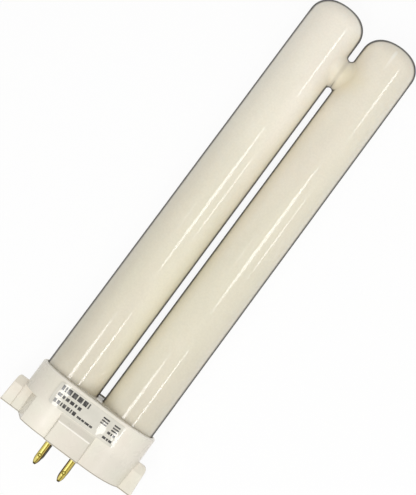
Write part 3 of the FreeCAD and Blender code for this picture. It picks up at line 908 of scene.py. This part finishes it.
    def _bridge(self) -> Piece:
        """The bridge: a closed saddle whose wall runs smoothly into both tubes all the way round.

        Its rings are drawn far apart first, so that each can be told by its x, and then set in place.
        """
        span = self._tube_x(Side.RIGHT) - self._tube_x(Side.LEFT)
        deselect()
        bpy.ops.mesh.primitive_circle_add(
            vertices=self.bridge_segments, radius=BRIDGE_RADIUS, fill_type="NGON",
            location=(0, BRIDGE_LEVEL, 0), rotation=(0, math.pi / 2, 0))
        bridge = bpy.context.object
        bake_place()
        open_mesh(bridge)
        for _ in range(self.bridge_rings):
            bpy.ops.mesh.extrude_region_move(TRANSFORM_OT_translate={"value": (span, 0, 0)})
        bpy.ops.object.mode_set(mode="OBJECT")
        for vertex in bridge.data.vertices:
            x, y, z = vertex.co
            ring = round(x / span)
            turn = math.atan2(y - BRIDGE_LEVEL, z)
            if ring in (0, self.bridge_rings):
                place = math.copysign(self._tube_x(Side.RIGHT) - self.bridge_root, ring - 0.5)
                reach = self.bridge_root_radius
            else:
                place, reach = self._saddle(turn, (ring - 1) / (self.bridge_rings - 2))
            vertex.co = (place, BRIDGE_LEVEL + reach * math.sin(turn), reach * math.cos(turn))
        open_mesh(bridge)
        close_mesh()
        return bridge

    def _saddle(self, turn: float, share: float) -> tuple[float, float]:
        """One point of the bridge's wall.

        Args:
            turn: angle round the bridge, from the front.
            share: 0 where the wall meets the left tube, 1 where it meets the right one.

        Returns:
            The point's x, and its distance from the bridge's axis.
        """
        waist = BRIDGE_RADIUS + self.bridge_bulge * math.cos(turn) ** 2
        # A plane through the bridge's axis cuts the tube in an ellipse, which is endless at the sides.
        long_axis = self.tube_radius / max(abs(math.cos(turn)), self.least_cosine)
        axis = self._tube_x(Side.RIGHT)

        def fillet(contact: float) -> tuple[float, float, float]:
            """Radius, centre's reach and start angle of the round that touches the tube there."""
            slope = Vector((math.cos(contact) / self.tube_radius, math.sin(contact) / long_axis)).normalized()
            radius = (axis - self.tube_radius * math.cos(contact)) / slope.x
            return radius, long_axis * math.sin(contact) + radius * slope.y, math.atan2(slope.y, slope.x)

        low, high = 0.0, math.pi / 2
        for _ in range(self.fillet_halvings):
            contact = (low + high) / 2
            radius, centre, _ = fillet(contact)
            low, high = (contact, high) if centre - radius < waist else (low, contact)
        radius, centre, start = fillet((low + high) / 2)
        angle = (2 * share - 1) * (math.pi / 2 - start)
        radius += self.bridge_sink
        x = radius * math.sin(angle)
        groove = self.seam_depth * math.exp(-(x / self.seam_half) ** 2) * math.sin(turn) ** 2
        return x, centre - radius * math.cos(angle) - groove

    def _pinch(self, side: Side) -> Piece:
        """The flattened seal under one tube, with rounded edges."""
        width, length, thickness = self.pinch
        deselect()
        bpy.ops.mesh.primitive_cube_add(
            size=1, location=(self._tube_x(side), self.seat - (length - self.pinch_root) / 2, 0),
            scale=(width, length + self.pinch_root, thickness))
        seal = bpy.context.object
        bake_place()
        apply_modifier(seal, "BEVEL", width=self.pinch_round, segments=self.pinch_round_steps)
        return seal


@dataclass(frozen=True)
class Bubble:
    """A place where the film stands off the cap, in lamp millimetres."""

    x: float
    y: float
    wide: float
    tall: float
    height: float


@dataclass(frozen=True)
class Bars:
    """A row of plain dark bars that stands for a line of print."""

    x: float
    y: float
    height: float
    widths: tuple[float, ...]
    gap: float


@dataclass(frozen=True)
class Label:
    """The glossy label round the cap's front, a little blistered, with plain bars for print.

    A mark is an x and a width, and three bars stand for it, one at each mark level.
    """

    half_width: float = 12.6
    low: float = 10.15
    high: float = 17.95
    corner: float = 0.9
    front: float = 13.8
    straight: float = 8.6
    film: float = 0.1
    film_gap: float = 0.01
    smooth_angle: float = math.radians(40)
    columns: int = 120
    rows: int = 40
    bar_columns: int = 6
    bar_rows: int = 5
    bubbles: tuple[Bubble, ...] = (
        Bubble(8.4, 13.2, 3.6, 5.2, 0.36),
        Bubble(-13.5, 14.0, 4.5, 7.5, 0.25),
        Bubble(-7.6, 15.6, 1.6, 2.2, 0.05),
        Bubble(1.2, 11.4, 3.0, 1.0, 0.03),
        Bubble(3.0, 15.4, 2.2, 1.8, 0.03),
        Bubble(11.0, 12.0, 1.5, 1.5, 0.04),
    )
    lines: tuple[Bars, ...] = (
        Bars(-11.3, 15.6, 1.75, (0.8, 0.5, 1.5, 1.7, 1.7, 1.5, 0.5), 0.4),
        Bars(-11.3, 13.55, 1.1, (1.4, 0.8, 1.2, 1.4, 0.7, 1.2), 0.45),
        Bars(-11.3, 11.2, 1.3, (0.9, 1.0, 0.45, 1.1, 1.1, 0.45, 1.2), 0.36),
        Bars(-2.2, 11.3, 0.7, (1.5, 1.0, 1.6, 1.0), 0.25),
        Bars(8.4, 13.1, 0.8, (1.0, 0.5, 0.8), 0.25),
        Bars(7.9, 11.1, 0.8, (1.2, 0.6, 1.1), 0.25),
    )
    marks: tuple[tuple[float, float], ...] = ((4.7, 2.4), (9.0, 2.2))
    mark_levels: Triple = (16.3, 15.4, 14.5)
    mark_height: float = 0.5
    ink_lift: float = 0.012
    ink_depth: float = 0.02

    def build(self, lamp: LampFrame, film: Material, ink: Material) -> None:
        """Models the film and the bars on it.

        Args:
            lamp: the lamp's frame.
            film: the film's finish.
            ink: the bars' finish.
        """
        settle(self._sheet(), lamp, Slot.FILM, film, "label_film")
        settle(self._print(), lamp, Slot.FILM, ink)

    def _surface(self, x: float, y: float, lift: float) -> Vector:
        """The place over a flat x and y at that lift off the cap's front, bubbles included."""
        for bubble in self.bubbles:
            away = ((x - bubble.x) / bubble.wide) ** 2 + ((y - bubble.y) / bubble.tall) ** 2
            if away < 1:
                lift += bubble.height * (1 - away) ** 2
        beyond = max(0.0, abs(x) - self.straight)
        turn = math.asin(min(1.0, beyond / self.front))
        out = self.front + lift
        sign = math.copysign(1.0, x)
        bent = x if beyond == 0 else sign * (self.straight + out * math.sin(turn))
        return Vector((bent, y, out * math.cos(turn)))

    def _sheet(self) -> Piece:
        """The film: a grid with rounded corners, laid on the cap and given its thickness."""
        middle = (self.low + self.high) / 2
        half_height = (self.high - self.low) / 2
        sheet = flat_grid(self.columns, self.rows, 2 * self.half_width, 2 * half_height, (0, middle, 0))
        sheet.name = "label_sheet"
        for vertex in sheet.data.vertices:
            x, y, _ = vertex.co
            over_x = abs(x) - (self.half_width - self.corner)
            over_y = abs(y - middle) - (half_height - self.corner)
            if over_x > 0 and over_y > 0:
                share = max(over_x, over_y) / math.hypot(over_x, over_y)
                x = math.copysign(self.half_width - self.corner + over_x * share, x)
                y = middle + math.copysign(half_height - self.corner + over_y * share, y - middle)
            vertex.co = self._surface(x, y, self.film)
        apply_modifier(sheet, "SOLIDIFY", thickness=self.film - self.film_gap, offset=-1.0)
        bpy.ops.object.shade_smooth_by_angle(angle=self.smooth_angle)
        return sheet

    def _print(self) -> Piece:
        """The bars: small slabs bent onto the film, joined in one piece."""
        made = []
        for line in self.lines:
            x = line.x
            for width in line.widths:
                made.append(self._bar(x, line.y, width, line.height))
                x += width + line.gap
        for x, width in self.marks:
            for y in self.mark_levels:
                made.append(self._bar(x, y, width, self.mark_height))
        deselect()
        for bar in made:
            bar.select_set(True)
        bpy.context.view_layer.objects.active = made[0]
        bpy.ops.object.join()
        joined = bpy.context.object
        joined.name = "label_bars"
        apply_modifier(joined, "SOLIDIFY", thickness=self.ink_depth, offset=-1.0)
        return joined

    def _bar(self, x: float, y: float, width: float, height: float) -> Piece:
        """One bar with its lower left corner at that x and y, laid on the film."""
        bar = flat_grid(self.bar_columns, self.bar_rows, width, height, (x + width / 2, y + height / 2, 0))
        for vertex in bar.data.vertices:
            vertex.co = self._surface(vertex.co.x, vertex.co.y, self.film + self.ink_lift)
        return bar


def dress_nodes(lamp: LampFrame) -> dict[Slot, Material]:
    """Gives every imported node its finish.

    Args:
        lamp: the lamp's frame.

    Returns:
        The material of each slot.
    """
    finishes = {
        Slot.GLASS: MilkyGlass(),
        Slot.CAP: CapPlastic(),
        Slot.FILM: LABEL_GLOSS,
        Slot.BRASS: Brass(),
        Slot.CEMENT: BASING_CEMENT,
        Slot.NICKEL: LEAD_NICKEL,
    }
    materials = {slot: finish.material(lamp) for slot, finish in finishes.items()}
    for part in frame["record"]["subparts"]:
        frame["nodes"][part["node"]].material_slots[0].material = materials[Slot(part["material_slot"])]
        LOG.info("dressed %s", part["node"])
    return materials


@dataclass(frozen=True)
class PhotoCamera:
    """The camera that took the photograph, solved in the lamp's frame."""

    place: Triple = (11.3, 59.3, 366.3)
    pitch: float = math.radians(3.20)
    yaw: float = math.radians(1.94)
    roll: float = math.radians(36.36)
    focal_px: float = 1112.1
    image_height_px: float = 495.0
    sensor_mm: float = 36.0
    clip_start: float = 0.01

    def build(self, lamp: LampFrame) -> None:
        """Makes the camera and sets it as the scene's.

        Args:
            lamp: the lamp's frame.
        """
        data = bpy.data.cameras.new("photo_camera")
        data.sensor_width = self.sensor_mm
        data.lens = self.focal_px * self.sensor_mm / self.image_height_px
        data.clip_start = self.clip_start
        camera = bpy.data.objects.new("photo_camera", data)
        bpy.context.scene.collection.objects.link(camera)
        turn = (Matrix.Rotation(self.pitch, 4, "X") @ Matrix.Rotation(self.yaw, 4, "Y")
                @ Matrix.Rotation(self.roll, 4, "Z"))
        camera.matrix_world = Matrix.Translation(lamp.point(*self.place)) @ lamp.rotation() @ turn
        bpy.context.scene.camera = camera


@dataclass(frozen=True)
class OvalLight:
    """One soft oval light over the table, in lamp millimetres, facing a point of the lamp or straight down.

    Radiance is 1 for a plain white surface. A light that isn't mirrored shows in no gloss.
    """

    name: str
    x: float
    y: float
    z: float
    width: float
    length: float
    radiance: float
    aim: Triple | None = None
    mirrored: bool = True

    def build(self, lamp: LampFrame) -> None:
        """Makes the light.

        Args:
            lamp: the lamp's frame.
        """
        data = bpy.data.lights.new(self.name, "AREA")
        data.shape = "ELLIPSE"
        data.size = self.width * MM
        data.size_y = self.length * MM
        # The power is the radiance times pi times the oval's area.
        data.energy = self.radiance * math.pi * math.pi / 4 * data.size * data.size_y
        light = bpy.data.objects.new(self.name, data)
        bpy.context.scene.collection.objects.link(light)
        turn = Matrix.Identity(4)
        if self.aim is not None:
            way = Vector(self.aim) - Vector((self.x, self.y, self.z))
            turn = way.to_track_quat("-Z", "Y").to_matrix().to_4x4()
        light.matrix_world = Matrix.Translation(lamp.point(self.x, self.y, self.z)) @ lamp.rotation() @ turn
        light.visible_camera = False
        light.visible_glossy = self.mirrored


@dataclass(frozen=True)
class Studio:
    """Pale floor and world, the oval lights that the photograph's highlights show, and a soft key light."""

    floor_half: float = 3.0
    floor_colour: Colour = (0.88, 0.875, 0.865, 1)
    floor_glow: float = 0.93
    sky_light: float = 0.47
    lights: tuple[OvalLight, ...] = (
        OvalLight("tip_light", 432, 300, 400, 110, 86, 6.4),
        OvalLight("middle_light", 130, 131, 400, 84, 120, 6.4),
        OvalLight("middle_far_light", 511, 160, 400, 110, 88, 5.4),
        OvalLight("middle_left_light", -140, 112, 400, 22, 36, 3.2),
        OvalLight("cap_light", -97, -34, 400, 84, 112, 7.6),
        OvalLight("cap_far_light", 256, -25, 400, 58, 124, 8.4),
        OvalLight("key_light", 40, -140, 430, 260, 260, 5.15, aim=(0, 60, 0), mirrored=False),
    )

    def build(self, lamp: LampFrame) -> None:
        """Makes the lights, the floor and the world.

        Args:
            lamp: the lamp's frame.
        """
        for light in self.lights:
            light.build(lamp)
        self._floor()
        self._world()

    def _floor(self) -> None:
        """A pale floor, mostly white by its own glow for the camera, which keeps a faint shadow."""
        deselect()
        bpy.ops.mesh.primitive_plane_add(size=2 * self.floor_half)
        floor = bpy.context.object
        floor.name = "studio_floor"
        shader = Shader("studio_floor")
        shader.fill(Base_Color=self.floor_colour, Roughness=0.9, Specular_IOR_Level=0.0)
        share = shader.times(shader.seen_directly(), self.floor_glow)
        shader.show("Material Output", share, shader.surface.outputs[0], shader.node("Emission").outputs[0])
        floor.data.materials.append(shader.material)

    def _world(self) -> None:
        """A white backdrop for the camera and for reflections, and a softer sky for the light itself."""
        world = bpy.data.worlds.new("studio_world")
        world.use_nodes = True
        nodes = Nodes(world.node_tree)
        sky = nodes.tree.nodes["Background"]
        white = nodes.node("Background")
        sky.inputs["Color"].default_value = WHITE
        sky.inputs["Strength"].default_value = self.sky_light
        white.inputs["Color"].default_value = WHITE
        nodes.show("World Output", nodes.seen_directly(), sky.outputs[0], white.outputs[0])
        bpy.context.scene.world = world


def main() -> None:
    logging.basicConfig(level=logging.INFO, format="%(name)s: %(message)s")
    lamp = LampFrame.from_record(frame["record"])
    materials = dress_nodes(lamp)
    Envelope().build(lamp, materials[Slot.GLASS])
    Label().build(lamp, materials[Slot.FILM], PRINT_INK.material(lamp))
    Studio().build(lamp)
    PhotoCamera().build(lamp)
    bpy.context.scene.view_settings.view_transform = "Standard"
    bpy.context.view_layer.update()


if __name__ == "__main__":
    main()
